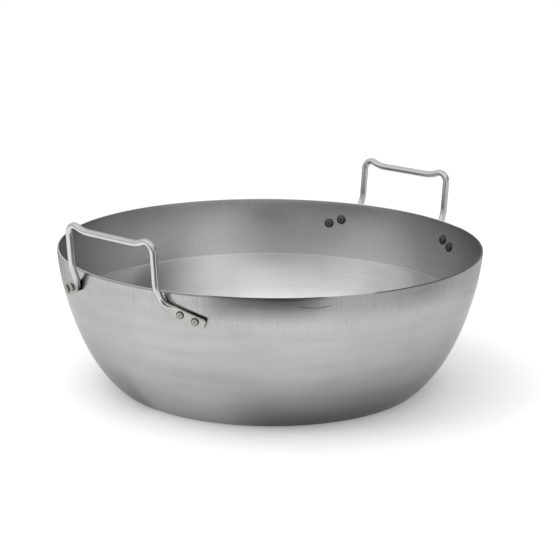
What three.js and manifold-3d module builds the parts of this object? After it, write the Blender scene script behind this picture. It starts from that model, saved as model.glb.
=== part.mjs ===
// A deep two-handled frying pan in bare steel: one pressed bowl, two loop handles bent from round rod,
// and the solid rivets that hold the flattened rod ends to the wall.
// Millimetres, +Z up. The origin is the middle of the underside of the base, and the handles lie on X.
import * as THREE from "three";
import { mergeVertices, toCreasedNormals } from "three/addons/utils/BufferGeometryUtils.js";
import Module from "manifold-3d";

// Bowl
const RIM_DIAMETER = 400;
const BOWL_HEIGHT = 133;
const BASE_DIAMETER = 288;
const SHEET = 1.5;
const BASE_CORNER_RADIUS = 5;
const BASE_FLARE = 51; // degrees from upright where the wall leaves the base
const RIM_FLARE = 2; // degrees from upright at the rim
const BASE_FULLNESS = 50; // length over which the wall holds its flare at the base
const RIM_FULLNESS = 29; // length over which the wall holds its flare at the rim

// Loop handle, measured along the middle of the rod
const ROD_DIAMETER = 6.5;
const GRIP_HEIGHT = 40; // grip above the rim
const LEG_SPAN = 104; // from leg to leg
const LOOP_LEAN = 5; // degrees outwards from upright
const RISE_ANGLE = 23; // degrees by which the grip climbs to each raised corner
const RISE_RADIUS = 37;
const CORNER_RADIUS = 8.2;
const FOOT_RADIUS = 13.5; // bend from leg to tab
const SWEEP = 12; // length of leg, above the foot bend, that bends in towards the wall

// Flattened rod ends
const TAB_WIDTH = 10;
const TAB_THICKNESS = 3.2;
const TAB_TILT = 21; // degrees below level
const TAB_CORNER_RADIUS = 2;
const TAB_EDGE_ROUNDNESS = 0.25; // 1 is a round section and 0 is a bar with sharp edges
const FLATTENING = 11; // length over which round rod becomes flat tab

// Rivets
const RIVET_DROP = 18.5; // first rivet below the rim
const RIVET_SETBACK = 5.8; // from the foot bend to the first rivet
const RIVET_PITCH = 12.8;
const TAB_END = 8; // from the second rivet to the end of the tab
const SHANK_DIAMETER = 5;
const HEAD_DIAMETER = 9.4;
const HEAD_HEIGHT = 2.2;
const TAIL_DIAMETER = 7.2;
const TAIL_HEIGHT = 1.1;

const CLEARANCE = 0.3; // between pieces that touch, and round each shank

// Facets
const BOWL_SIDES = 96;
const WALL_STEPS = 12;
const BASE_CORNER_STEPS = 3;
const ROD_SIDES = 12;
const RIVET_SIDES = 16;
const DOME_STEPS = 3;
const CREASE = THREE.MathUtils.degToRad(35);

const rimRadius = RIM_DIAMETER / 2;
const baseRadius = BASE_DIAMETER / 2;
const rodRadius = ROD_DIAMETER / 2;
const radians = THREE.MathUtils.degToRad;
const { lerp, smoothstep } = THREE.MathUtils;

const steel = {
  bowl: new THREE.MeshStandardMaterial({ color: 0xa9a9a6, roughness: 0.38, metalness: 1 }),
  handle: new THREE.MeshStandardMaterial({ color: 0xc4c3bf, roughness: 0.28, metalness: 1 }),
  rivet: new THREE.MeshStandardMaterial({ color: 0x7d7b77, roughness: 0.42, metalness: 1 }),
};

// Solids

const wasm = await Module();
wasm.setup();

function solidFrom(geometry, matrix = new THREE.Matrix4()) {
  const bare = geometry.clone().applyMatrix4(matrix);
  bare.deleteAttribute("normal");
  bare.deleteAttribute("uv");
  const merged = mergeVertices(bare);
  const vertProperties = merged.attributes.position.array;
  const triVerts = Uint32Array.from(merged.index.array);
  return new wasm.Manifold(new wasm.Mesh({ numProp: 3, vertProperties, triVerts }));
}

function geometryFrom(solid) {
  const { vertProperties, triVerts } = solid.getMesh();
  const geometry = new THREE.BufferGeometry();
  geometry.setAttribute("position", new THREE.BufferAttribute(vertProperties, 3));
  geometry.setIndex(new THREE.BufferAttribute(triVerts, 1));
  return toCreasedNormals(geometry, CREASE);
}

function named(name, geometry, material) {
  const mesh = new THREE.Mesh(geometry, material);
  mesh.name = name;
  return mesh;
}

// Bowl wall

// A point along a slope, where the slope is in radians from upright.
function alongSlope(start, slope, length) {
  return new THREE.Vector2(start.x + length * Math.sin(slope), start.y + length * Math.cos(slope));
}

const baseEdge = new THREE.Vector2(baseRadius, 0);
const rimEdge = new THREE.Vector2(rimRadius, BOWL_HEIGHT);
const outerWall = new THREE.CubicBezierCurve(
  baseEdge,
  alongSlope(baseEdge, radians(BASE_FLARE), BASE_FULLNESS),
  alongSlope(rimEdge, radians(RIM_FLARE), -RIM_FULLNESS),
  rimEdge,
);

// The share of the wall's curve at which it reaches a height.
function shareAtHeight(height) {
  let low = 0;
  let high = 1;
  while (high - low > 1e-6) {
    const middle = (low + high) / 2;
    if (outerWall.getPoint(middle).y < height) low = middle;
    else high = middle;
  }
  return low;
}

// A point of the outer wall, with its outward normal, both in the half plane of radius and height.
function wallPoint(share) {
  const tangent = outerWall.getTangent(share);
  return { point: outerWall.getPoint(share), normal: new THREE.Vector2(tangent.y, -tangent.x) };
}

// A place on the outside of the wall, a given distance sideways from the handle's middle plane.
function onWall(sideways, height, standOff = 0) {
  const { point, normal } = wallPoint(shareAtHeight(height));
  const turn = Math.asin(sideways / point.x);
  const outward = new THREE.Vector3(normal.x * Math.cos(turn), normal.x * Math.sin(turn), normal.y);
  const place = new THREE.Vector3(point.x * Math.cos(turn), point.x * Math.sin(turn), height);
  return { place: place.addScaledVector(outward, standOff), outward };
}

// One side of the sheet from the axis to the rim, moved inwards by a depth.
function sheetSide(depth) {
  const radius = BASE_CORNER_RADIUS - depth;
  const turn = Math.PI / 2 - radians(BASE_FLARE);
  const reach = BASE_CORNER_RADIUS * Math.tan(turn / 2);
  const middle = new THREE.Vector2(baseRadius - reach, BASE_CORNER_RADIUS);
  const points = [new THREE.Vector2(0, depth)];
  for (let i = 0; i <= BASE_CORNER_STEPS; i++) {
    const angle = (turn * i) / BASE_CORNER_STEPS;
    points.push(new THREE.Vector2(radius * Math.sin(angle), -radius * Math.cos(angle)).add(middle));
  }
  const start = shareAtHeight(BASE_CORNER_RADIUS - BASE_CORNER_RADIUS * Math.cos(turn));
  for (let i = 1; i < WALL_STEPS; i++) {
    const { point, normal } = wallPoint(lerp(start, 1, i / WALL_STEPS));
    points.push(point.addScaledVector(normal, -depth));
  }
  points.push(new THREE.Vector2(rimRadius - depth / Math.cos(radians(RIM_FLARE)), BOWL_HEIGHT));
  return points;
}

// Handle

// The middle line of half a loop, in the plane of sideways distance and height, as curves in a row.
function halfLoop() {
  const rise = radians(RISE_ANGLE);
  const tilt = radians(TAB_TILT);
  const legSide = LEG_SPAN / 2;
  const gripHeight = BOWL_HEIGHT + GRIP_HEIGHT;
  const cornerSide = legSide - CORNER_RADIUS;
  const riseSide = cornerSide - (RISE_RADIUS + CORNER_RADIUS) * Math.sin(rise);
  const riseHeight = gripHeight + RISE_RADIUS;
  const cornerHeight = riseHeight - (RISE_RADIUS + CORNER_RADIUS) * Math.cos(rise);
  const footSide = legSide + FOOT_RADIUS;
  const footHeight =
    BOWL_HEIGHT - RIVET_DROP + FOOT_RADIUS * Math.cos(tilt) + RIVET_SETBACK * Math.sin(tilt);
  const tabStart = new THREE.Vector2(
    footSide - FOOT_RADIUS * Math.sin(tilt),
    footHeight - FOOT_RADIUS * Math.cos(tilt),
  );
  const tabDirection = new THREE.Vector2(Math.cos(tilt), -Math.sin(tilt));
  const alongTab = (length) => tabStart.clone().addScaledVector(tabDirection, length);
  const tabLength = RIVET_SETBACK + RIVET_PITCH + TAB_END;
  const arc = (side, height, radius, from, to, clockwise) =>
    new THREE.EllipseCurve(side, height, radius, radius, from, to, clockwise);
  const foot = arc(footSide, footHeight, FOOT_RADIUS, Math.PI, 1.5 * Math.PI - tilt, false);
  const flatFrom = 1 - FLATTENING / foot.getLength();
  return {
    sweepTop: footHeight + SWEEP,
    sweepFoot: tabStart.y,
    rivets: [RIVET_SETBACK, RIVET_SETBACK + RIVET_PITCH].map(alongTab),
    runs: [
      {
        curve: new THREE.LineCurve(
          new THREE.Vector2(0, gripHeight),
          new THREE.Vector2(riseSide, gripHeight),
        ),
        steps: 1,
        flatness: () => 0,
      },
      {
        curve: arc(riseSide, riseHeight, RISE_RADIUS, -Math.PI / 2, rise - Math.PI / 2, false),
        steps: 3,
        flatness: () => 0,
      },
      {
        curve: arc(cornerSide, cornerHeight, CORNER_RADIUS, Math.PI / 2 + rise, 0, true),
        steps: 8,
        flatness: () => 0,
      },
      {
        curve: new THREE.LineCurve(
          new THREE.Vector2(legSide, cornerHeight),
          new THREE.Vector2(legSide, footHeight),
        ),
        steps: 9,
        flatness: () => 0,
      },
      { curve: foot, steps: 8, flatness: (share) => smoothstep(share, flatFrom, 1) },
      {
        curve: new THREE.LineCurve(tabStart, alongTab(tabLength - TAB_CORNER_RADIUS)),
        steps: 7,
        flatness: () => 1,
      },
    ],
    tabEnd: (past) => alongTab(tabLength - TAB_CORNER_RADIUS + past),
  };
}

// Stations from the middle of the grip to the end of a tab. Each has its place in the half plane,
// how flat the rod is there, and how much the rounded end of the tab narrows it.
function stations(half) {
  const list = [];
  for (const { curve, steps, flatness } of half.runs) {
    for (let i = 0; i < steps; i++) {
      list.push({ spot: curve.getPoint(i / steps), flat: flatness(i / steps), narrow: 0 });
    }
  }
  for (let i = 0; i <= DOME_STEPS; i++) {
    const angle = (Math.PI / 2) * (i / DOME_STEPS);
    const spot = half.tabEnd(TAB_CORNER_RADIUS * Math.sin(angle));
    list.push({ spot, flat: 1, narrow: TAB_CORNER_RADIUS * (1 - Math.cos(angle)) });
  }
  return list;
}

// The loop stands in a plane that leans outwards past the rim, then its legs sweep in to the wall.
function liftToPan(half, { spot, flat, narrow }, side) {
  const sideways = side * spot.x;
  const lean = radians(LOOP_LEAN);
  const planeX = rimRadius + rodRadius + (spot.y - BOWL_HEIGHT) * Math.tan(lean);
  const standOff = lerp(rodRadius, TAB_THICKNESS / 2, flat) + CLEARANCE;
  const { place, outward } = onWall(sideways, Math.min(spot.y, BOWL_HEIGHT), standOff);
  const closeness = 1 - smoothstep(spot.y, half.sweepFoot, half.sweepTop);
  const free = new THREE.Vector3(planeX, sideways, spot.y);
  const facing = new THREE.Vector3(Math.cos(lean), 0, -Math.sin(lean));
  return { place: free.lerp(place, closeness), facing: facing.lerp(outward, closeness), flat, narrow };
}

// A section that goes from a round rod to a flat bar with soft edges, as a ring of points.
function rodSection({ place, facing, flat, narrow }, along) {
  const across = new THREE.Vector3().crossVectors(facing, along).normalize();
  const out = new THREE.Vector3().crossVectors(along, across).normalize();
  const halfWidth = lerp(rodRadius, TAB_WIDTH / 2, flat) - narrow;
  const halfThickness = lerp(rodRadius, TAB_THICKNESS / 2, flat);
  const power = lerp(1, TAB_EDGE_ROUNDNESS, flat);
  const rounded = (value) => Math.sign(value) * Math.abs(value) ** power;
  return Array.from({ length: ROD_SIDES }, (_, i) => {
    const angle = (2 * Math.PI * (i + 0.5)) / ROD_SIDES;
    return place
      .clone()
      .addScaledVector(across, halfWidth * rounded(Math.cos(angle)))
      .addScaledVector(out, halfThickness * rounded(Math.sin(angle)));
  });
}

// A closed skin over rings of points, with a flat cap on each end.
function loft(rings) {
  const sides = rings[0].length;
  const faces = [];
  for (let ring = 0; ring + 1 < rings.length; ring++) {
    for (let i = 0; i < sides; i++) {
      const a = ring * sides + i;
      const b = ring * sides + ((i + 1) % sides);
      faces.push(a, b, b + sides, a, b + sides, a + sides);
    }
  }
  const last = (rings.length - 1) * sides;
  for (let i = 1; i + 1 < sides; i++) {
    faces.push(0, i + 1, i, last, last + i, last + i + 1);
  }
  const geometry = new THREE.BufferGeometry().setFromPoints(rings.flat());
  return geometry.setIndex(faces);
}

function handleGeometry(half) {
  const list = stations(half);
  const line = [
    ...list.slice(1).reverse().map((station) => liftToPan(half, station, -1)),
    ...list.map((station) => liftToPan(half, station, 1)),
  ];
  const rings = line.map((station, i) => {
    const before = line[Math.max(i - 1, 0)].place;
    const after = line[Math.min(i + 1, line.length - 1)].place;
    return rodSection(station, new THREE.Vector3().subVectors(after, before).normalize());
  });
  return loft(rings);
}

// Rivets

// From the outside of the wall, along the rivet: the head lies inside the bowl, the tail on the tab.
function rivetGeometry() {
  const headSeat = -SHEET - CLEARANCE;
  const tailSeat = TAB_THICKNESS + 2 * CLEARANCE;
  const dome = (diameter, height, seat, from, to) =>
    Array.from({ length: DOME_STEPS + 1 }, (_, i) => {
      const angle = lerp(from, to, i / DOME_STEPS);
      return new THREE.Vector2((diameter / 2) * Math.cos(angle), seat + height * Math.sin(angle));
    });
  return new THREE.LatheGeometry(
    [
      ...dome(HEAD_DIAMETER, HEAD_HEIGHT, headSeat, -Math.PI / 2, 0),
      new THREE.Vector2(SHANK_DIAMETER / 2, headSeat),
      new THREE.Vector2(SHANK_DIAMETER / 2, tailSeat),
      ...dome(TAIL_DIAMETER, TAIL_HEIGHT, tailSeat, 0, Math.PI / 2),
    ],
    RIVET_SIDES,
  );
}

function rivetMatrix(spot, side) {
  const { place, outward } = onWall(side * spot.x, spot.y);
  const turn = new THREE.Quaternion().setFromUnitVectors(new THREE.Vector3(0, 1, 0), outward);
  return new THREE.Matrix4().compose(place, turn, new THREE.Vector3(1, 1, 1));
}

// Assembly

const half = halfLoop();
const holeRadius = SHANK_DIAMETER / 2 + CLEARANCE;
const holeLength = 4 * (SHEET + TAB_THICKNESS);
const drill = new THREE.CylinderGeometry(holeRadius, holeRadius, holeLength, RIVET_SIDES);
const seats = [
  { end: "front", side: -1 },
  { end: "back", side: 1 },
].flatMap(({ end, side }) =>
  half.rivets.map((spot, i) => ({ end, number: i + 1, matrix: rivetMatrix(spot, side) })),
);

const halfTurn = new THREE.Matrix4().makeRotationZ(Math.PI);
const profile = [...sheetSide(0), ...sheetSide(SHEET).reverse()];
let bowl = solidFrom(
  new THREE.LatheGeometry(profile, BOWL_SIDES),
  new THREE.Matrix4().makeRotationX(Math.PI / 2),
);
let handle = solidFrom(handleGeometry(half));
for (const { matrix } of seats) {
  const drilled = solidFrom(drill, matrix);
  handle = handle.subtract(drilled);
  bowl = bowl.subtract(drilled);
  bowl = bowl.subtract(solidFrom(drill, halfTurn.clone().multiply(matrix)));
}

const group = new THREE.Group();
group.add(named("bowl", geometryFrom(bowl), steel.bowl));

const handleShape = geometryFrom(handle);
const rivetShape = rivetGeometry();
for (const { name, turn } of [
  { name: "right", turn: 0 },
  { name: "left", turn: Math.PI },
]) {
  const fitting = new THREE.Group();
  fitting.rotation.z = turn;
  fitting.add(named(`handle_${name}`, handleShape, steel.handle));
  for (const { end, number, matrix } of seats) {
    const facing = turn === 0 ? end : { front: "back", back: "front" }[end];
    const rivet = named(`rivet_${name}_${facing}_${number}`, rivetShape, steel.rivet);
    rivet.applyMatrix4(matrix);
    fitting.add(rivet);
  }
  group.add(fitting);
}

export default group;
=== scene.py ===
# %% [markdown]
# # A deep frying pan in bare steel
# The pan is a bowl pressed from one sheet, two loop handles bent from rod, and eight rivets. The packed
# model comes in first as a fixed frame. Every finished piece below stands where its solid stands, so
# the two sizes that the rest hangs on, the rim and the height of the bowl, are read from the frame.

# %% Load the frame
import math
import bmesh
import bpy
from mathutils import Matrix, Vector
from mathutils.geometry import interpolate_bezier


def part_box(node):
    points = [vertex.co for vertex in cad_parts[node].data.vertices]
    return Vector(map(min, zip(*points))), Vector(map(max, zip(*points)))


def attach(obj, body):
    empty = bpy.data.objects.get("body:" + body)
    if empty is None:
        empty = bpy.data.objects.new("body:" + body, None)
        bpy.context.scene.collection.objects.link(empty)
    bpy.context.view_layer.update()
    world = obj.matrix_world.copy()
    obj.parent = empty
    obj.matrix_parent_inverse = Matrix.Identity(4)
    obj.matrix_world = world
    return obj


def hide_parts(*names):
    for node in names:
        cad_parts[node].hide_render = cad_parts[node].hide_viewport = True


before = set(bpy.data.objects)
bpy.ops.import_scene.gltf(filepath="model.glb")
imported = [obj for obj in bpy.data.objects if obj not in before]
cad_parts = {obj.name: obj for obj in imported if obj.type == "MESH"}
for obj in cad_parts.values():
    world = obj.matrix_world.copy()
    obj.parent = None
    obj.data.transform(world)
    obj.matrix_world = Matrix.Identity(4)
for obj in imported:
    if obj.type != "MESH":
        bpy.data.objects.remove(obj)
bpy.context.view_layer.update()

bowl_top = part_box("bowl")[1]
RIM_RADIUS = bowl_top[0]
BOWL_HEIGHT = bowl_top[2]
print("rim radius", round(RIM_RADIUS, 4), "height", round(BOWL_HEIGHT, 4))

# %% [markdown]
# ## From a bmesh to a piece
# Each piece starts as a bmesh, which is the mesh that Blender's modelling operators work on. It then
# becomes an object at the origin, rides on the pan's one body and stands for its solid. That is the
# same for all eleven pieces, so one function does it.

# %% Finish a piece
def finished_piece(name, mesh, materials, node):
    data = bpy.data.meshes.new(name)
    mesh.to_mesh(data)
    mesh.free()
    for material in materials:
        data.materials.append(material)
    data.shade_smooth()
    piece = bpy.data.objects.new(name, data)
    bpy.context.scene.collection.objects.link(piece)
    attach(piece, "root")
    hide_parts(node)
    print(name, "stands for", node, "with", len(data.polygons), "faces")
    return piece


# %% [markdown]
# ## Shader maths
# A finish is a graph of nodes, and its sums could be laid out node by node. They read better as
# expressions. This class wraps a socket, and each operator on it adds one Math node. The reflected
# forms are there so that 1 - mask works as well as mask - 1.

# %% A value in a graph
class Value:
    def __init__(self, graph, socket):
        self.graph = graph
        self.socket = socket

    def math(self, operation, *values):
        made = self.graph.node("ShaderNodeMath", {"operation": operation}, dict(enumerate(values)))
        return Value(self.graph, made.outputs[0])

    def __add__(self, other):
        return self.math("ADD", self, other)

    def __sub__(self, other):
        return self.math("SUBTRACT", self, other)

    def __rsub__(self, other):
        return self.math("SUBTRACT", other, self)

    def __mul__(self, other):
        return self.math("MULTIPLY", self, other)

    def __truediv__(self, other):
        return self.math("DIVIDE", self, other)

    def __pow__(self, other):
        return self.math("POWER", self, other)

    def __abs__(self):
        return self.math("ABSOLUTE", self)

    def __neg__(self):
        return self * -1

    def between(self, low, high):
        """0 below low, 1 above high and a smooth climb between them."""
        settings = {"interpolation_type": "SMOOTHSTEP"}
        made = self.graph.node("ShaderNodeMapRange", settings, {0: self, 1: low, 2: high})
        return Value(self.graph, made.outputs[0])

    def peak(self, middle, reach):
        """1 at middle, with a smooth fall to 0 on both sides of it."""
        return self.between(middle - reach, middle) * (1 - self.between(middle, middle + reach))

    __radd__ = __add__
    __rmul__ = __mul__


# %% [markdown]
# Every other kind of node comes from one method, which takes its type, its settings and what goes into
# its sockets. The floor, the paper and the world use it as it is.

# %% A graph of nodes
class Graph:
    def __init__(self, tree):
        self.tree = tree

    def node(self, kind, settings, sockets):
        made = self.tree.nodes.new(kind)
        for key, setting in settings.items():
            setattr(made, key, setting)
        for key, value in sockets.items():
            self.feed(made.inputs[key], value)
        return made

    def feed(self, socket, value):
        if isinstance(value, Value):
            value = value.socket
        if isinstance(value, bpy.types.NodeSocket):
            self.tree.links.new(value, socket)
        else:
            socket.default_value = value


# %% [markdown]
# ## Steel
# Each piece here is bare metal, so one kind of graph serves all: a metal shader whose colour, roughness
# and fine relief change over the surface. Marks on steel follow the way it was worked, so most of them
# are noise that is stretched along one direction.

# %% A steel finish
class Steel(Graph):
    def __init__(self, name, anisotropic, edge_shine):
        self.material = bpy.data.materials.new(name)
        self.material.use_nodes = True
        super().__init__(self.material.node_tree)
        self.shader = self.tree.nodes["Principled BSDF"]
        self.shader.inputs["Metallic"].default_value = 1
        self.shader.inputs["Anisotropic"].default_value = anisotropic
        self.shader.inputs["Specular Tint"].default_value = (edge_shine, edge_shine, edge_shine, 1)

    def place(self):
        """Object coordinates as three values."""
        made = self.node("ShaderNodeTexCoord", {}, {})
        split = self.node("ShaderNodeSeparateXYZ", {}, {0: made.outputs["Object"]})
        return [Value(self, output) for output in split.outputs]

    def round_axis(self):
        """Direction round the pan's axis as two parts of a unit vector, then radius and height."""
        x, y, z = self.place()
        radius = (x * x + y * y) ** 0.5
        return x / radius, y / radius, radius, z

    def attribute(self, name):
        made = self.node("ShaderNodeAttribute", {"attribute_name": name}, {})
        return Value(self, made.outputs["Fac"])

    def noise(self, x, y, z, scale, detail):
        point = self.node("ShaderNodeCombineXYZ", {}, {0: x, 1: y, 2: z})
        sockets = {"Vector": point.outputs[0], "Scale": scale, "Detail": detail}
        return Value(self, self.node("ShaderNodeTexNoise", {}, sockets).outputs[0])

    def streaks(self, spot, around, across, scale, detail):
        """Noise that changes around times as fast round the pan, and across times the other way."""
        east, north, other = spot
        return self.noise(east * around, north * around, other * across, scale, detail)

    def blend(self, share, first, second):
        """Mix two colours: sockets 6, 7 and output 2 are the node's colour sockets."""
        sockets = {"Factor": share, 6: first, 7: second}
        return self.node("ShaderNodeMix", {"data_type": "RGBA"}, sockets).outputs[2]

    def relief(self, height, distance, strength):
        sockets = {"Height": height, "Distance": distance, "Strength": strength}
        return self.node("ShaderNodeBump", {}, sockets).outputs[0]

    def wear(self, color, roughness, normal):
        self.feed(self.shader.inputs["Base Color"], color)
        self.feed(self.shader.inputs["Roughness"], roughness)
        self.feed(self.shader.inputs["Normal"], normal)
        print(self.material.name, "has", len(self.tree.nodes), "nodes")
        return self.material


# %% [markdown]
# ## Marks on the rim
# One stretch of the cut edge and of the lip is painted dark, a painted reflection, apart from one spot
# left bright where the highlight falls, and a shallow arc is rubbed into the band below. Each mark has
# its place round the pan, so it is masked by the angle to a direction. A texture could hold them too, but
# a mask stays sharp at any size.

# %% Painted dark edge and a scuff
# One dark colour serves the scuff and the painted dark reflection on the rim and lip.
SCUFF_AND_PAINTED_DARK = (0.05, 0.049, 0.047, 1)
PAINTED_DARK_STRETCH = (0.4, 0.5)
HIGHLIGHT_GAP_SPOT = (-0.473, -0.881)
HIGHLIGHT_GAP_REACH = (0.9915, 0.9955)
SCUFF_MIDDLE = (-0.606, -0.7955)
SCUFF_SIDE = (0.9, 0.95)
SCUFF_RUN = (0.7955, -0.606)
SCUFF_HEIGHT = 0.1236
SCUFF_CURVE = 0.37
SCUFF_REACH = 0.078
SCUFF_LINE = (0.0002, 0.0007)


def towards(east, north, direction):
    """Cosine of the angle between a place round the pan and a direction."""
    return east * direction[0] + north * direction[1]


def painted_dark_edge(east, north):
    """1 along the stretch of the cut edge that is painted dark, a painted reflection, apart from the
    highlight gap.
    """
    stretch = (-north).between(*PAINTED_DARK_STRETCH)
    highlight_gap = towards(east, north, HIGHLIGHT_GAP_SPOT).between(*HIGHLIGHT_GAP_REACH)
    return stretch * (1 - highlight_gap)


def scuff(east, north, z):
    """1 along the arc that is rubbed into the band under the rim."""
    along = towards(east, north, SCUFF_RUN)
    facing = towards(east, north, SCUFF_MIDDLE).between(*SCUFF_SIDE)
    off = z - (SCUFF_HEIGHT + along * along * SCUFF_CURVE)
    line = 1 - abs(off).between(*SCUFF_LINE)
    length = 1 - abs(along).between(0.8 * SCUFF_REACH, SCUFF_REACH)
    return line * length * facing


print("scuff below the rim", round(BOWL_HEIGHT - SCUFF_HEIGHT, 4))

# %% [markdown]
# ## Outside of the bowl
# The press leaves fine upright scores in the straight band under the rim, and the buffing wheel leaves
# faint bands round the wall. The heel is darkened by painted shade, a painted reflection of the shadow on
# the floor, strongest at the front and behind and faint at the sides. A relief of a few hundredths of a
# millimetre and a change of tone and roughness show the scores and bands. The highlight of buffed steel
# spreads across its scratches, which is what the anisotropy does.

# %% Drawn and buffed steel
RELIEF_DEPTH = 0.00006
RIM_BAND = 0.026
LIP_HEIGHT = 0.001
BAND_REACH = (BOWL_HEIGHT - 2.2 * RIM_BAND, BOWL_HEIGHT - 0.2 * RIM_BAND)
LIP_BAND_REACH = (BOWL_HEIGHT - 0.7 * RIM_BAND, BOWL_HEIGHT - 0.1 * RIM_BAND)
LIP_REACH = (BOWL_HEIGHT - LIP_HEIGHT, BOWL_HEIGHT - 0.5 * LIP_HEIGHT)
# Painted shade on the heel: its reach up the wall and its weights round the pan.
HEEL_SHADE_REACH = (-0.01, 0.065)
EVEN_HEEL_SHADE = 0.04
FRONT_HEEL_SHADE = 0.92
FRONT_HEEL_SHADE_REACH = (0.35, 0.72)
BACK_HEEL_SHADE = 0.75
BACK_HEEL_SHADE_REACH = (0.0, 0.12)
WARM_STEEL = (0.378, 0.374, 0.366, 1)
COOL_STEEL = (0.465, 0.466, 0.466, 1)
DRAWN_STEEL = (0.3, 0.297, 0.29, 1)
PAINTED_HEEL_SHADE = (0.14, 0.134, 0.122, 1)


def outside_steel():
    finish = Steel("bowl_steel_outside", anisotropic=0.55, edge_shine=0.72)
    east, north, _, z = finish.round_axis()
    spot = east, north, z
    scores = finish.streaks(spot, around=30, across=14, scale=5.0, detail=4.0)
    fine_scores = finish.streaks(spot, around=110, across=10, scale=6.0, detail=2.0)
    bands = finish.streaks(spot, around=0.5, across=160, scale=3.0, detail=3.0)
    broad_bands = finish.streaks(spot, around=0.7, across=45, scale=2.0, detail=4.0)
    clouds = finish.streaks(spot, around=1.6, across=9, scale=1.5, detail=3.0)

    band = z.between(*BAND_REACH)
    tone = clouds.between(0.35, 0.7) * 0.5 + broad_bands.between(0.3, 0.7) * 0.5
    bare = finish.blend(tone, WARM_STEEL, COOL_STEEL)
    drawn = scores.between(0.52, 0.68) * 0.6 + fine_scores.between(0.5, 0.75) * 0.4
    drawn_share = 0.05 + band * (0.05 + drawn * 0.7) + z.between(*LIP_BAND_REACH) * 0.2
    scored = finish.blend(drawn_share, bare, DRAWN_STEEL)
    # Painted shade on the heel, a painted reflection of the shadow on the floor: strongest at the front
    # and behind, faint at the sides.
    heel_shade = EVEN_HEEL_SHADE + (-north).between(*FRONT_HEEL_SHADE_REACH) * FRONT_HEEL_SHADE
    heel_shade = heel_shade + north.between(*BACK_HEEL_SHADE_REACH) * BACK_HEEL_SHADE
    heel_shaded = finish.blend((1 - z.between(*HEEL_SHADE_REACH)) * heel_shade, scored, PAINTED_HEEL_SHADE)
    # Painted dark reflection on the lip along the front, in the same colour as the scuff.
    edge = z.between(*LIP_REACH) * painted_dark_edge(east, north)
    rubbed = scuff(east, north, z) * (0.25 + scores * 0.6)
    color = finish.blend(edge * 0.9 + rubbed, heel_shaded, SCUFF_AND_PAINTED_DARK)

    roughness = 0.21 + (clouds - 0.5) * 0.08 + (bands - 0.5) * 0.05
    roughness = roughness + (scores - 0.5) * (0.04 + band * 0.1)
    height = (scores + fine_scores * 0.6) * (0.12 + band) + bands * 0.5
    return finish.wear(color, roughness, finish.relief(height, RELIEF_DEPTH, 0.55))


outside = outside_steel()

# %% [markdown]
# ## Inside of the bowl
# A second pass of buffing left the lower part brighter, up to a finish line that goes all the way round,
# and one faint turned line stands above it. Both are a smooth peak at a height, and the finish line's
# ridge is also painted lighter, a painted highlight. Bands follow height and radius together, so they run
# up the wall and stay rings on the flat floor.

# %% Buffed steel with a finish line
FINISH_LINE = BOWL_HEIGHT - 0.057
FINISH_STEP = 0.0004
FINISH_RIDGE = 0.0016
TURNED_LINE = BOWL_HEIGHT - 0.031
TURNED_RIDGE = 0.001
WALL_FOOT = (0.004, 0.02)
LOWER_STEEL = (0.6, 0.6, 0.595, 1)
UPPER_STEEL = (0.5, 0.497, 0.488, 1)
RIDGE_HIGHLIGHT_STEEL = (0.7, 0.7, 0.69, 1)


def inside_steel():
    finish = Steel("bowl_steel_inside", anisotropic=0.5, edge_shine=1.0)
    east, north, radius, z = finish.round_axis()
    spot = east, north, z + radius
    bands = finish.streaks(spot, around=0.4, across=120, scale=3.0, detail=3.0)
    clouds = finish.streaks(spot, around=1.4, across=8, scale=1.5, detail=3.0)
    scores = finish.streaks((east, north, z), around=40, across=12, scale=5.0, detail=3.0)
    scores = scores * z.between(*WALL_FOOT)

    above = z.between(FINISH_LINE - FINISH_STEP, FINISH_LINE + FINISH_STEP)
    ridge = z.peak(FINISH_LINE, FINISH_RIDGE)
    turned = z.peak(TURNED_LINE, TURNED_RIDGE)
    tone = finish.blend(above, LOWER_STEEL, UPPER_STEEL)
    dulled = clouds.between(0.4, 0.75) * 0.4 + bands.between(0.4, 0.75) * 0.08
    bare = finish.blend(dulled, tone, WARM_STEEL)
    # Painted highlight along the ridge of the finish line.
    ridge_highlighted = finish.blend(ridge * 0.5, bare, RIDGE_HIGHLIGHT_STEEL)
    drawn_share = scores.between(0.5, 0.72) * (0.04 + above * 0.16)
    color = finish.blend(drawn_share, ridge_highlighted, DRAWN_STEEL)

    roughness = 0.21 + above * 0.05 + (clouds - 0.5) * 0.03 + (bands - 0.5) * 0.03
    height = scores * (0.1 + above * 0.5) + bands * 0.2 + ridge * 0.7 + turned * 0.35
    return finish.wear(color, roughness, finish.relief(height, RELIEF_DEPTH, 0.5))


inside = inside_steel()

# %% [markdown]
# ## Cut edge of the rim
# The rim is sheared and then ground, which leaves a bright edge with short scratches across it. It could
# share the outside's finish, but it is the brightest line on the pan, so it gets a material of its own.

# %% Ground steel
EDGE_DEPTH = 0.00005
GROUND_DULL = (0.75, 0.745, 0.735, 1)
GROUND_BRIGHT = (0.9, 0.9, 0.89, 1)


def rim_steel():
    finish = Steel("bowl_steel_rim", anisotropic=0.0, edge_shine=0.8)
    east, north, radius, _ = finish.round_axis()
    spot = east, north, radius
    grind = finish.streaks(spot, around=60, across=300, scale=6.0, detail=3.0)
    bright = finish.blend(grind, GROUND_DULL, GROUND_BRIGHT)
    # Painted dark reflection along the front stretch of the cut edge.
    color = finish.blend(painted_dark_edge(east, north) * 0.9, bright, SCUFF_AND_PAINTED_DARK)
    return finish.wear(color, 0.22 + grind * 0.2, finish.relief(grind, EDGE_DEPTH, 0.4))


rim = rim_steel()

# %% [markdown]
# ## The bowl
# A press draws the bowl from one flat sheet, so it is one line turned round an axis. The line has a
# flat base, a small corner and a wall that flares most at the base and stands nearly upright at the
# rim. Points could be placed along it by hand, but a Bezier curve with two long handles draws it from
# two angles and two lengths.

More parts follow.
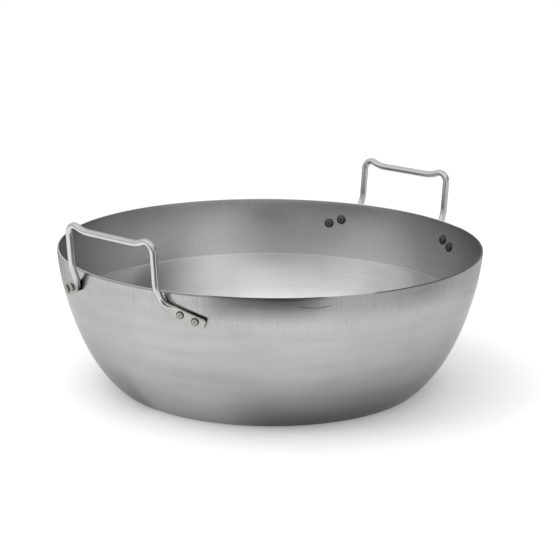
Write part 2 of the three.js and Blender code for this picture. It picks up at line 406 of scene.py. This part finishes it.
# %% Line of the wall
BASE_RADIUS = 0.144
BASE_FLARE = math.radians(51)
BASE_FULLNESS = 0.050
RIM_FLARE = math.radians(2)
RIM_FULLNESS = 0.029
WALL_STEPS = 48


def slope(angle, length):
    """A step of some length that leans out from upright by an angle."""
    return Vector((length * math.sin(angle), 0, length * math.cos(angle)))


base_edge = Vector((BASE_RADIUS, 0, 0))
rim_edge = Vector((RIM_RADIUS, 0, BOWL_HEIGHT))
wall_line = interpolate_bezier(
    base_edge,
    base_edge + slope(BASE_FLARE, BASE_FULLNESS),
    rim_edge - slope(RIM_FLARE, RIM_FULLNESS),
    rim_edge,
    WALL_STEPS,
)
print("points on the wall's line", len(wall_line))

# %% [markdown]
# Spin turns the line into a sheet with no thickness. Its last step tips in a little, as a sheared lip
# does. Normals are recalculated once the seam is merged, and face outwards.

# %% Spin the sheet
BASE_CORNER_RADIUS = 0.005
CORNER_STEPS = 6
BASE_INSET = 4
LIP_TILT = math.radians(8)
TURN_STEPS = 240
MERGE = 1e-6
QUARTER = math.pi / 2


def bowl_mesh():
    mesh = bmesh.new()
    corner_reach = BASE_CORNER_RADIUS * math.tan((QUARTER - BASE_FLARE) / 2)
    flat_edge = Vector((BASE_RADIUS - BASE_INSET * corner_reach, 0, 0))
    lip_foot = wall_line[-2]
    lip_edge = lip_foot + slope(-LIP_TILT, (BOWL_HEIGHT - lip_foot.z) / math.cos(LIP_TILT))
    line = [Vector((0, 0, 0)), flat_edge, *wall_line[:-1], lip_edge]
    verts = [mesh.verts.new(point) for point in line]
    for pair in zip(verts, verts[1:]):
        mesh.edges.new(pair)
    bmesh.ops.bevel(
        mesh, geom=[verts[2]], offset=corner_reach, affect="VERTICES", segments=CORNER_STEPS,
        profile=0.5, material=-1,
    )
    bmesh.ops.spin(
        mesh, geom=mesh.verts[:] + mesh.edges[:], cent=(0, 0, 0), axis=(0, 0, 1),
        angle=math.tau, steps=TURN_STEPS, use_merge=True,
    )
    bmesh.ops.remove_doubles(mesh, verts=mesh.verts, dist=MERGE)
    bmesh.ops.recalc_face_normals(mesh, faces=mesh.faces)
    widest = max(mesh.faces, key=lambda face: face.calc_center_median().xy.length)
    if widest.normal.dot(widest.calc_center_median()) < 0:
        bmesh.ops.reverse_faces(mesh, faces=mesh.faces)
    return mesh


sheet_mesh = bowl_mesh()
print("faces on the sheet", len(sheet_mesh.faces))

# %% [markdown]
# Solidify gives the sheet its thickness inwards, with one material outside, one inside and one on the
# cut edge. The inner wall could be spun as well, but a modifier keeps both walls the same distance
# apart. A bevel then eases the cut edge, so that it catches light.

# %% Thickness and eased edge
SHEET = 0.0015
RIM_EASE = 0.0005
RIM_EASE_STEPS = 3
RIM_EASE_ANGLE = math.radians(60)

bowl = finished_piece(
    "pressed_bowl", sheet_mesh, [outside, inside, rim], "bowl"
)
wall = bowl.modifiers.new("sheet", "SOLIDIFY")
wall.thickness = SHEET
wall.offset = -1
wall.use_even_offset = True
wall.material_offset = 1
wall.material_offset_rim = 2
ease = bowl.modifiers.new("rim ease", "BEVEL")
ease.width = RIM_EASE
ease.segments = RIM_EASE_STEPS
ease.limit_method = "ANGLE"
ease.angle_limit = RIM_EASE_ANGLE

# %% [markdown]
# ## Where things sit on the wall
# Tabs and rivets follow the wall. They could be snapped to the mesh, but the line that made it is
# exact, so one function finds a place on it from a height and a distance sideways from the middle of a
# handle. It gives the point and the way that the wall faces there.

# %% A place on the wall
def on_wall(sideways, height, stand_off=0.0):
    pairs = list(zip(wall_line, wall_line[1:]))
    low, high = next(((a, b) for a, b in pairs if b.z >= height), pairs[-1])
    point = low.lerp(high, min((height - low.z) / (high.z - low.z), 1.0))
    turn = math.asin(sideways / point.x)
    climb = (high - low).normalized()
    outward = Vector((climb.z * math.cos(turn), climb.z * math.sin(turn), -climb.x))
    place = Vector((point.x * math.cos(turn), point.x * math.sin(turn), point.z))
    return place + outward * stand_off, outward


print("radius half way up", round(on_wall(0, BOWL_HEIGHT / 2)[0].x, 4))

# %% [markdown]
# ## Handle steel
# The rod is brighter than the bowl, because it is drawn through a die: its scratches run along it. The
# hammered tabs are duller and a little warm, and their sides are painted dark, as painted shade in the
# gap against the wall. The height tells rod from tab, and an attribute of the mesh tells a tab's face
# from its sides.

# %% Drawn rod and hammered tab
FIRST_RIVET_DROP = 0.0185
HAMMERED_REACH = (BOWL_HEIGHT - FIRST_RIVET_DROP, BOWL_HEIGHT - 0.3 * FIRST_RIVET_DROP)
HAMMER_DEPTH = 0.00012
ROD_DULL = (0.47, 0.47, 0.464, 1)
ROD_BRIGHT = (0.59, 0.59, 0.582, 1)
TAB_STEEL = (0.43, 0.418, 0.394, 1)
TAB_SIDE_SHADE = (0.05, 0.047, 0.042, 1)


def rod_steel():
    finish = Steel("handle_steel_drawn", anisotropic=0.0, edge_shine=0.5)
    x, y, z = finish.place()
    hammered = 1 - z.between(*HAMMERED_REACH)
    streaks = finish.noise(x * 900, y * 60, z * 60, scale=1.0, detail=3.0)
    dents = finish.noise(x, y, z, scale=420.0, detail=2.0)
    grain = finish.noise(x, y, z, scale=1500.0, detail=3.0)
    bright = finish.blend(streaks, ROD_DULL, ROD_BRIGHT)
    # Painted shade: the tab's sides are painted dark, for the shade in the gap against the wall.
    sides = hammered * (1 - finish.attribute("outward").between(0.2, 0.8))
    tab = finish.blend(sides, TAB_STEEL, TAB_SIDE_SHADE)
    color = finish.blend(hammered * 0.95, bright, tab)
    roughness = 0.12 + streaks * 0.08 + hammered * 0.16 + (grain - 0.5) * 0.08
    height = streaks * 0.3 + hammered * (dents + grain * 0.4)
    return finish.wear(color, roughness, finish.relief(height, HAMMER_DEPTH, 0.5))


rod_finish = rod_steel()

# %% [markdown]
# ## The handles
# Each loop is bent from one rod: a straight grip that climbs to two raised corners, upright legs, and a
# foot bend where the rod is hammered flat into a tab. A curve object with a round bevel could make the
# rod, but not the flat tab. So the middle line comes first, seen flat from outside, with its bends as
# arcs.

# %% Sizes of the loop
ROD_RADIUS = 0.0032
GRIP_HEIGHT = 0.040
LEG_SIDE = 0.052
RISE = math.radians(23)
RISE_RADIUS = 0.037
CORNER_RADIUS = 0.0082
FOOT_RADIUS = 0.0135
TAB_TILT = math.radians(21)
TAB_CORNER_RADIUS = 0.002
FLATTENING = 0.011
RIVET_SETBACK = 0.0058
RIVET_PITCH = 0.0128
TAB_END = 0.008

corner_side = LEG_SIDE - CORNER_RADIUS
rise_side = corner_side - (RISE_RADIUS + CORNER_RADIUS) * math.sin(RISE)
rise_height = BOWL_HEIGHT + GRIP_HEIGHT + RISE_RADIUS
corner_height = rise_height - (RISE_RADIUS + CORNER_RADIUS) * math.cos(RISE)
foot_side = LEG_SIDE + FOOT_RADIUS
tab_height = BOWL_HEIGHT - FIRST_RIVET_DROP + RIVET_SETBACK * math.sin(TAB_TILT)
foot_height = tab_height + FOOT_RADIUS * math.cos(TAB_TILT)
tab_start = Vector((foot_side - FOOT_RADIUS * math.sin(TAB_TILT), tab_height))
tab_direction = Vector((math.cos(TAB_TILT), -math.sin(TAB_TILT)))
tab_length = RIVET_SETBACK + RIVET_PITCH + TAB_END
tab_square = tab_start + tab_direction * (tab_length - TAB_CORNER_RADIUS)
flat_from = 1 - FLATTENING / (FOOT_RADIUS * (QUARTER - TAB_TILT))
print("tab length", round(tab_length, 4), "corner height", round(corner_height, 4))

# %% [markdown]
# Half the line is a short list of runs, each a straight or an arc with its number of steps, and a rule
# for how flat the rod is along it. A rounded tab end closes it.

# %% Runs of the rod
TAB_CORNER_STEPS = 5
TAB_CORNER_TUCK = 0.98


def smooth(value, low, high):
    share = min(max((value - low) / (high - low), 0), 1)
    return share * share * (3 - 2 * share)


def straight(start, end):
    return lambda share: start.lerp(end, share)


def arc(side, height, radius, start, end):
    def spot(share):
        angle = start + (end - start) * share
        return Vector((side + radius * math.cos(angle), height + radius * math.sin(angle)))
    return spot


def round_rod(share):
    return 0.0


def flattening_rod(share):
    return smooth(share, flat_from, 1)


def flat_tab(share):
    return 1.0


grip_middle = Vector((0, BOWL_HEIGHT + GRIP_HEIGHT))
grip_end = Vector((rise_side, grip_middle.y))
leg_top, leg_foot = Vector((LEG_SIDE, corner_height)), Vector((LEG_SIDE, foot_height))
RUNS = [
    (straight(grip_middle, grip_end), 5, round_rod),
    (arc(rise_side, rise_height, RISE_RADIUS, -QUARTER, RISE - QUARTER), 6, round_rod),
    (arc(corner_side, corner_height, CORNER_RADIUS, QUARTER + RISE, 0), 12, round_rod),
    (straight(leg_top, leg_foot), 16, round_rod),
    (arc(foot_side, foot_height, FOOT_RADIUS, math.pi, 3 * QUARTER - TAB_TILT), 14, flattening_rod),
    (straight(tab_start, tab_square), 12, flat_tab),
]


def half_stations():
    """Places along half the rod, each with its flatness and how much it narrows."""
    stations = []
    for spot, steps, flatness in RUNS:
        stations += [(spot(i / steps), flatness(i / steps), 0.0) for i in range(steps)]
    for i in range(TAB_CORNER_STEPS + 1):
        angle = QUARTER * i / TAB_CORNER_STEPS
        spot = tab_square + tab_direction * TAB_CORNER_RADIUS * math.sin(angle)
        narrow = TAB_CORNER_RADIUS * (1 - math.cos(angle)) * TAB_CORNER_TUCK
        stations.append((spot, 1.0, narrow))
    return stations


print("stations on half a rod", len(half_stations()))

# %% [markdown]
# The flat line is then lifted into place: the loop stands in a plane that leans out over the rim, and
# the foot sweeps in until the tab lies along the wall. A small gap stands for the contact.

# %% Lift the line to the wall
CLEARANCE = 0.0003
LOOP_LEAN = math.radians(5)
SWEEP = 0.012
TAB_THICKNESS = 0.0032


def half_depth(flat):
    """Half the rod's thickness, from a round rod to a flat tab."""
    return ROD_RADIUS + (TAB_THICKNESS / 2 - ROD_RADIUS) * flat


def lift(station, side):
    spot, flat, narrow = station
    sideways = side * spot.x
    plane_x = RIM_RADIUS + ROD_RADIUS + (spot.y - BOWL_HEIGHT) * math.tan(LOOP_LEAN)
    stand_off = half_depth(flat) + CLEARANCE
    place, outward = on_wall(sideways, min(spot.y, BOWL_HEIGHT), stand_off)
    closeness = 1 - smooth(spot.y, tab_height, foot_height + SWEEP)
    leaning = Vector((math.cos(LOOP_LEAN), 0, -math.sin(LOOP_LEAN)))
    facing = leaning.lerp(outward, closeness)
    return Vector((plane_x, sideways, spot.y)).lerp(place, closeness), facing, flat, narrow


print("grip stands at", round(lift(half_stations()[0], 1)[0].x, 4), "from the axis")

# %% [markdown]
# The section of the rod is a circle, and that of the tab is a squared oval. One power of sine and cosine
# gives both and all between, and how far a point faces outwards, which the finish needs.

# %% Section of the rod
TAB_HALF_WIDTH = 0.005
TAB_SQUARENESS = 0.75


def rod_point(station, along, angle):
    place, facing, flat, narrow = station
    across = facing.cross(along).normalized()
    out = along.cross(across).normalized()
    half_width = ROD_RADIUS + (TAB_HALF_WIDTH - ROD_RADIUS) * flat - narrow
    power = 1 - TAB_SQUARENESS * flat
    wide = math.copysign(abs(math.cos(angle)) ** power, math.cos(angle))
    deep = math.copysign(abs(math.sin(angle)) ** power, math.sin(angle))
    return place + across * half_width * wide + out * half_depth(flat) * deep, deep


print("tab", 2 * TAB_HALF_WIDTH, "wide and", TAB_THICKNESS, "thick")

# %% [markdown]
# One ring of vertices is extruded from station to station, and each new ring takes the section there.
# Both ends are then filled. One level of subdivision smooths the rod.

# %% Extrude the rod along its line
ROD_SIDES = 16


def next_ring(mesh, ring):
    """Extrude a ring of vertices and give the new ring in the same order."""
    edges = [edge for edge in mesh.edges if edge.verts[0] in ring and edge.verts[1] in ring]
    made = bmesh.ops.extrude_edge_only(mesh, edges=edges)["geom"]
    after = {}
    for vert in made:
        if isinstance(vert, bmesh.types.BMVert):
            ends = [edge.other_vert(vert) for edge in vert.link_edges]
            after.update((end, vert) for end in ends if end in ring)
    return [after[vert] for vert in ring]


def handle_mesh(turn):
    half = half_stations()
    stations = [lift(station, -1) for station in reversed(half[1:])]
    stations += [lift(station, 1) for station in half]
    mesh = bmesh.new()
    outward = mesh.verts.layers.float.new("outward")
    ring = bmesh.ops.create_circle(
        mesh, segments=ROD_SIDES, radius=ROD_RADIUS, cap_ends=False
    )["verts"]
    for i, station in enumerate(stations):
        if i:
            ring = next_ring(mesh, ring)
        before = stations[max(i - 1, 0)][0]
        along = (stations[min(i + 1, len(stations) - 1)][0] - before).normalized()
        for k, vert in enumerate(ring):
            vert.co, vert[outward] = rod_point(station, along, math.tau * (k + 0.5) / ROD_SIDES)
    ends = [edge for edge in mesh.edges if edge.is_boundary]
    bmesh.ops.holes_fill(mesh, edges=ends, sides=0)
    bmesh.ops.rotate(
        mesh, verts=mesh.verts, cent=(0, 0, 0), matrix=Matrix.Rotation(turn, 3, "Z")
    )
    bmesh.ops.recalc_face_normals(mesh, faces=mesh.faces)
    return mesh


SIDES = {"right": 0.0, "left": math.pi}
for side, turn in SIDES.items():
    handle = finished_piece(
        f"bent_handle_{side}", handle_mesh(turn), [rod_finish], f"handle_{side}"
    )
    soften = handle.modifiers.new("soften", "SUBSURF")
    soften.levels = 1
    soften.render_levels = 1

# %% [markdown]
# ## Rivet steel
# The heads inside are dark and pitted, with a faint ring, and the peened tails outside are worn paler.
# Both are painted dark round their edge, as painted shade in the crevice where they meet the steel under
# them, and darker in the punch mark. An attribute of the mesh gives the distance from the rivet's own
# axis, so one finish serves all eight, wherever they point.

# %% Peened steel
PEENED_DEPTH = 0.0002
TAIL_REACH = (RIM_RADIUS - 0.002, RIM_RADIUS)
HEAD_DARK = (0.035, 0.034, 0.032, 1)
HEAD_PALE = (0.13, 0.126, 0.12, 1)
TAIL_DARK = (0.28, 0.273, 0.26, 1)
TAIL_PALE = (0.46, 0.45, 0.43, 1)
RING_STEEL = (0.2, 0.195, 0.185, 1)
EDGE_SHADE_AND_PUNCH_DARK = (0.06, 0.058, 0.053, 1)


def rivet_steel():
    finish = Steel("rivet_steel_peened", anisotropic=0.0, edge_shine=0.6)
    x, y, z = finish.place()
    tail = ((x * x + y * y) ** 0.5).between(*TAIL_REACH)
    from_axis = finish.attribute("from_axis")
    edge = from_axis.between(0.58, 0.86)
    punched = 1 - from_axis.between(0.12, 0.36)
    ring = from_axis.between(0.36, 0.5) * (1 - from_axis.between(0.5, 0.66)) * (1 - tail)
    pits = finish.noise(x, y, z, scale=900.0, detail=3.0)
    dents = finish.noise(x, y, z, scale=330.0, detail=1.0)
    dark = finish.blend(pits, HEAD_DARK, HEAD_PALE)
    worn = finish.blend(pits, TAIL_DARK, TAIL_PALE)
    face = finish.blend(tail, dark, worn)
    marked = finish.blend(ring * 0.5, face, RING_STEEL)
    # Painted shade round the rivet's edge where it meets the steel under it, and darker in the punch
    # mark.
    color = finish.blend((edge + punched * 0.6) * 0.85, marked, EDGE_SHADE_AND_PUNCH_DARK)
    normal = finish.relief(dents + pits * 0.3, PEENED_DEPTH, 0.6)
    return finish.wear(color, 0.3 + pits * 0.22, normal)


rivet_finish = rivet_steel()

# %% [markdown]
# ## The rivets
# A rivet is a turned pin: a domed head inside the bowl and a tail that is peened flat over the tab.
# A cylinder and two spheres could stand for it, but half its outline holds the flattened domes and the
# punch marks as well.

# %% Outline of a rivet
SHANK_RADIUS = 0.0025
HEAD_RADIUS = 0.0047
HEAD_HEIGHT = 0.0022
TAIL_RADIUS = 0.0036
TAIL_HEIGHT = 0.0011
PUNCH_RADIUS = 0.0014
PUNCH_DEPTH = 0.0004
FACE_STEPS = 14


def face_line(radius, height, seat, way):
    """Half the outline of a flattened dome with a punch mark, from its middle to its edge."""
    points = []
    for i in range(FACE_STEPS + 1):
        out = radius * math.sin(QUARTER * i / FACE_STEPS)
        rise = height * (1 - (out / radius) ** 3) ** 0.5
        rise -= PUNCH_DEPTH * (1 - smooth(out, 0, PUNCH_RADIUS))
        points.append(Vector((out, 0, seat + way * rise)))
    return points


head_seat = -SHEET - CLEARANCE
tail_seat = TAB_THICKNESS + 2 * CLEARANCE
rivet_line = [
    *face_line(HEAD_RADIUS, HEAD_HEIGHT, head_seat, -1),
    Vector((SHANK_RADIUS, 0, head_seat)),
    Vector((SHANK_RADIUS, 0, tail_seat)),
    *reversed(face_line(TAIL_RADIUS, TAIL_HEIGHT, tail_seat, 1)),
]
print("points on a rivet's outline", len(rivet_line))

# %% [markdown]
# The outline is spun round the rivet's own axis. Each rivet is then stood square to the wall, at its
# place along the tab, and turned to its side of the pan.

# %% Spin and set the rivets
RIVET_TURN_STEPS = 32


def rivet_mesh(sideways, height, turn):
    mesh = bmesh.new()
    verts = [mesh.verts.new(point) for point in rivet_line]
    edges = [mesh.edges.new(pair) for pair in zip(verts, verts[1:])]
    bmesh.ops.spin(
        mesh, geom=verts + edges, cent=(0, 0, 0), axis=(0, 0, 1), angle=math.tau,
        steps=RIVET_TURN_STEPS, use_merge=True,
    )
    bmesh.ops.remove_doubles(mesh, verts=mesh.verts, dist=MERGE)
    bmesh.ops.recalc_face_normals(mesh, faces=mesh.faces)
    from_axis = mesh.verts.layers.float.new("from_axis")
    for vert in mesh.verts:
        vert[from_axis] = vert.co.xy.length / (HEAD_RADIUS if vert.co.z < 0 else TAIL_RADIUS)
    place, outward = on_wall(sideways, height)
    stand = Matrix.Translation(place) @ outward.to_track_quat("Z", "Y").to_matrix().to_4x4()
    bmesh.ops.transform(mesh, matrix=Matrix.Rotation(turn, 4, "Z") @ stand, verts=mesh.verts)
    return mesh


for side, turn in SIDES.items():
    for end, way in (("front", -1), ("back", 1)):
        for number, setback in ((1, RIVET_SETBACK), (2, RIVET_SETBACK + RIVET_PITCH)):
            spot = tab_start + tab_direction * setback
            along_y = way if side == "right" else -way
            node = f"rivet_{side}_{end}_{number}"
            mesh = rivet_mesh(along_y * spot.x, spot.y, turn)
            finished_piece(f"set_{node}", mesh, [rivet_finish], node)

# %% [markdown]
# ## Floor and background
# The pan stands on a round sheet of white paper in a white world. Strong light could make both white, but
# would bleach the steel as well. Light Path tells what a ray is for, so the world is white where it is
# seen, straight or in a reflection, and sheds less light than that on the floor, which keeps the shadow.

# %% What is seen
def seen_light(graph):
    """1 for what the camera, reflections and glass see, 0 for the light that falls on things."""
    path = graph.node("ShaderNodeLightPath", {}, {})
    seen = Value(graph, path.outputs["Is Camera Ray"])
    for kind in ("Is Glossy Ray", "Is Transmission Ray"):
        seen = seen.math("MAXIMUM", seen, path.outputs[kind])
    return seen


# %% Floor
FLOOR_RADIUS = 1.0
FLOOR_SIDES = 96
FLOOR_DROP = 0.0002
PAPER_WHITE = 0.93
PAPER_ROUGHNESS = 0.9
ADDED_WHITE = 0.22

floor_mesh = bmesh.new()
bmesh.ops.create_circle(floor_mesh, cap_ends=True, segments=FLOOR_SIDES, radius=FLOOR_RADIUS)
floor_data = bpy.data.meshes.new("studio_floor")
floor_mesh.to_mesh(floor_data)
floor_mesh.free()
floor = bpy.data.objects.new("studio_floor", floor_data)
bpy.context.scene.collection.objects.link(floor)
floor.location.z = -FLOOR_DROP

paper = bpy.data.materials.new("white_paper")
paper.use_nodes = True
paper_graph = Graph(paper.node_tree)
paper_inputs = paper.node_tree.nodes["Principled BSDF"].inputs
paper_inputs["Base Color"].default_value = (PAPER_WHITE, PAPER_WHITE, PAPER_WHITE, 1)
paper_inputs["Roughness"].default_value = PAPER_ROUGHNESS
paper_inputs["Specular IOR Level"].default_value = 0
paper_graph.feed(paper_inputs["Emission Color"], seen_light(paper_graph))
paper_inputs["Emission Strength"].default_value = ADDED_WHITE
floor_data.materials.append(paper)
print("floor radius", FLOOR_RADIUS)

# %% World
SEEN_WHITE = 1.0
FILL_LIGHT = 0.55

world = bpy.data.worlds.new("studio")
world.use_nodes = True
bpy.context.scene.world = world
sky_graph = Graph(world.node_tree)
sky = world.node_tree.nodes["Background"]
levels = {"Value": seen_light(sky_graph), "To Min": FILL_LIGHT, "To Max": SEEN_WHITE}
strength = sky_graph.node("ShaderNodeMapRange", {}, levels)
sky_graph.feed(sky.inputs["Strength"], strength.outputs[0])
sky.inputs["Color"].default_value = (1, 1, 1, 1)
print("background", SEEN_WHITE, "fill light", FILL_LIGHT)

# %% [markdown]
# ## Paper to reflect
# Satin steel shows its form only when it has something to reflect, so a studio sets grey paper round it.
# Lamps could draw these gradients too, but they clip to white where the steel mirrors them. A tall ring
# goes from pale behind to nearly black at the right, a low flag grades the front wall and is darkest
# towards the camera, a second one stands behind, and a high sheet in front brightens the lower wall
# inside. Only reflections see them. Each place is a bearing from the camera's side, in degrees to the
# right, with the height of the top edge and a grey, and the flags are all of one height. A fade gives
# shares of the height, each with the share of that grey.

# %% Places of the paper
AZIMUTH = math.radians(-48.42)
PAPER_DISTANCE = 1.3
PAPER_RING = [
    (-180, 0.9, 0.85), (-150, 0.8, 1.1), (-130, 0.8, 1.1), (-95, 0.8, 0.74),
    (-64, 0.85, 0.78), (-32, 1.15, 0.52), (0, 1.45, 0.47), (20, 1.25, 0.76),
    (37, 1.4, 1.0), (64, 1.5, 0.52), (80, 1.7, 0.22), (96, 1.5, 0.05),
    (108, 0.85, 0.08), (125, 0.75, 0.05), (150, 0.8, 0.5), (180, 0.9, 0.85),
]
HIGH_PAPER = [
    (-100, 2.0, 1.0), (-78, 2.0, 1.4), (-55, 2.1, 1.5), (-32, 2.5, 1.5),
    (0, 2.6, 1.5), (25, 2.5, 1.45), (45, 2.5, 1.0),
]
FLAG_DISTANCE = 0.37
FLAG_HEIGHT = 0.19
LOW_FLAG = [
    (-25, 1.0), (-19, 0.5), (-10, 0.34), (0, 0.17), (7, 0.15), (12, 0.22), (18, 0.45),
    (24, 1.0), (36, 1.0), (47, 0.9), (70, 0.66), (93, 0.92), (112, 1.0), (122, 0.95),
    (130, 0.8), (150, 0.5), (180, 0.5),
]
BACK_FLAG = [(-180, 0.5), (-150, 0.5), (-130, 0.6), (-120, 0.85), (-110, 1.0)]
FADING_AT_TOP = [(0.0, 1.0), (0.4, 1.0), (1.0, 0.0)]
FADING_BOTH_WAYS = [(0.3, 0.0), (0.45, 0.25), (0.6, 1.0), (0.8, 0.9), (1.0, 0.0)]
FADING_AT_FOOT = [
    (0.0, 0.0), (0.105, 0.48), (0.2, 0.88), (0.27, 1.0), (0.3, 1.0), (0.35, 0.85),
    (0.42, 1.1), (1.0, 1.1),
]
print("places on the ring", len(PAPER_RING), "and on the low flag", len(LOW_FLAG))


# %% Grade a sheet of paper
def round_pan(bearing, distance, height):
    """A point at a bearing from the camera's side."""
    angle = AZIMUTH + math.radians(bearing)
    return Vector((distance * math.sin(angle), -distance * math.cos(angle), height))


def paper_mesh(places, distance, fade):
    mesh = bmesh.new()
    greys = mesh.verts.layers.float.new("grey")
    before = []
    for bearing, top, grey in places:
        column = []
        for height, depth in fade:
            column.append(mesh.verts.new(round_pan(bearing, distance, height * top)))
            column[-1][greys] = 1 + (grey - 1) * depth
        for corners in zip(before, column, column[1:], before[1:]):
            mesh.faces.new(corners)
        before = column
    return mesh


# %% [markdown]
# Each sheet glows with its own grey, so no lamp has to light it, and it is hidden from the camera, from
# the floor's light and from shadows.

# %% Hang the paper
def graded_paper(name, places, distance, fade):
    data = bpy.data.meshes.new(name)
    mesh = paper_mesh(places, distance, fade)
    mesh.to_mesh(data)
    mesh.free()
    card = bpy.data.materials.new(name)
    card.use_nodes = True
    graph = Graph(card.node_tree)
    shade = graph.node("ShaderNodeAttribute", {"attribute_name": "grey"}, {})
    glow = graph.node("ShaderNodeEmission", {}, {"Color": shade.outputs["Color"]})
    graph.feed(graph.tree.nodes["Material Output"].inputs["Surface"], glow.outputs[0])
    data.materials.append(card)
    flag = bpy.data.objects.new(name, data)
    bpy.context.scene.collection.objects.link(flag)
    flag.visible_camera = False
    flag.visible_diffuse = False
    flag.visible_shadow = False
    print(name, "has", len(data.polygons), "faces")


def flag_places(greys):
    return [(bearing, FLAG_HEIGHT, grey) for bearing, grey in greys]


graded_paper("paper_ring", PAPER_RING, PAPER_DISTANCE, FADING_AT_TOP)
graded_paper("flag_low", flag_places(LOW_FLAG), FLAG_DISTANCE, FADING_AT_FOOT)
graded_paper("flag_back", flag_places(BACK_FLAG), FLAG_DISTANCE, FADING_AT_FOOT)
graded_paper("paper_high", HIGH_PAPER, PAPER_DISTANCE, FADING_BOTH_WAYS)

# %% [markdown]
# ## Lamps
# Large soft lamps above and to the left light the floor and throw the soft shadow to the right. A sun
# lamp would draw a hard edge. The steel doesn't mirror the lamps, because the paper stands for what it
# sees, so nothing on it clips to white from any side.

# %% Soft lamps
def soft_lamp(name, bearing, reach, size, watts):
    """A lamp that points at the pan. Its reach is its distance and its height."""
    lamp = bpy.data.lights.new(name, "AREA")
    lamp.shape = "RECTANGLE"
    lamp.size, lamp.size_y = size
    lamp.energy = watts
    stand = bpy.data.objects.new(name, lamp)
    stand.location = round_pan(bearing, *reach)
    stand.rotation_euler = (-stand.location).to_track_quat("-Z", "Y").to_euler()
    stand.visible_glossy = False
    bpy.context.scene.collection.objects.link(stand)
    print(name, watts, "W")


soft_lamp("softbox_above", 180, reach=(0.1, 1.9), size=(2.4, 2.4), watts=15)
soft_lamp("softbox_left", -80, reach=(0.8, 1.5), size=(1.8, 1.4), watts=8)
soft_lamp("softbox_right", 45, reach=(1.0, 1.2), size=(1.2, 0.9), watts=1.5)
soft_lamp("strip_left", -70, reach=(1.2, 0.55), size=(0.6, 0.4), watts=2.5)

# %% [markdown]
# ## Camera
# The camera stands where the photograph was taken from: far away with a long lens, a little above the
# rim, with the left handle towards it. It could be aimed by a constraint, but the angles were fitted to
# the rim, the base and the handles, so they are set as they are.

# %% Camera
SENSOR = 36
LENS_FOR_FRAME = 1817 / 560
CAMERA_DISTANCE = 1.6677
CAMERA_HEIGHT = 0.5324
PITCH = math.radians(14.642)
YAW = math.radians(0.33)
ROLL = math.radians(0.5915)

camera = bpy.data.cameras.new("photo_view")
camera.sensor_width = SENSOR
camera.lens = SENSOR * LENS_FOR_FRAME
viewer = bpy.data.objects.new("photo_view", camera)
stand = Matrix.Translation((0, -CAMERA_DISTANCE, CAMERA_HEIGHT))
look = Matrix.Rotation(-YAW, 4, "Z") @ Matrix.Rotation(QUARTER - PITCH, 4, "X")
turned = Matrix.Rotation(AZIMUTH, 4, "Z") @ stand
viewer.matrix_world = turned @ look @ Matrix.Rotation(ROLL, 4, "Z")
bpy.context.scene.collection.objects.link(viewer)
bpy.context.scene.camera = viewer
bpy.context.scene.view_settings.view_transform = "Standard"
print("lens", round(camera.lens, 1), "mm")
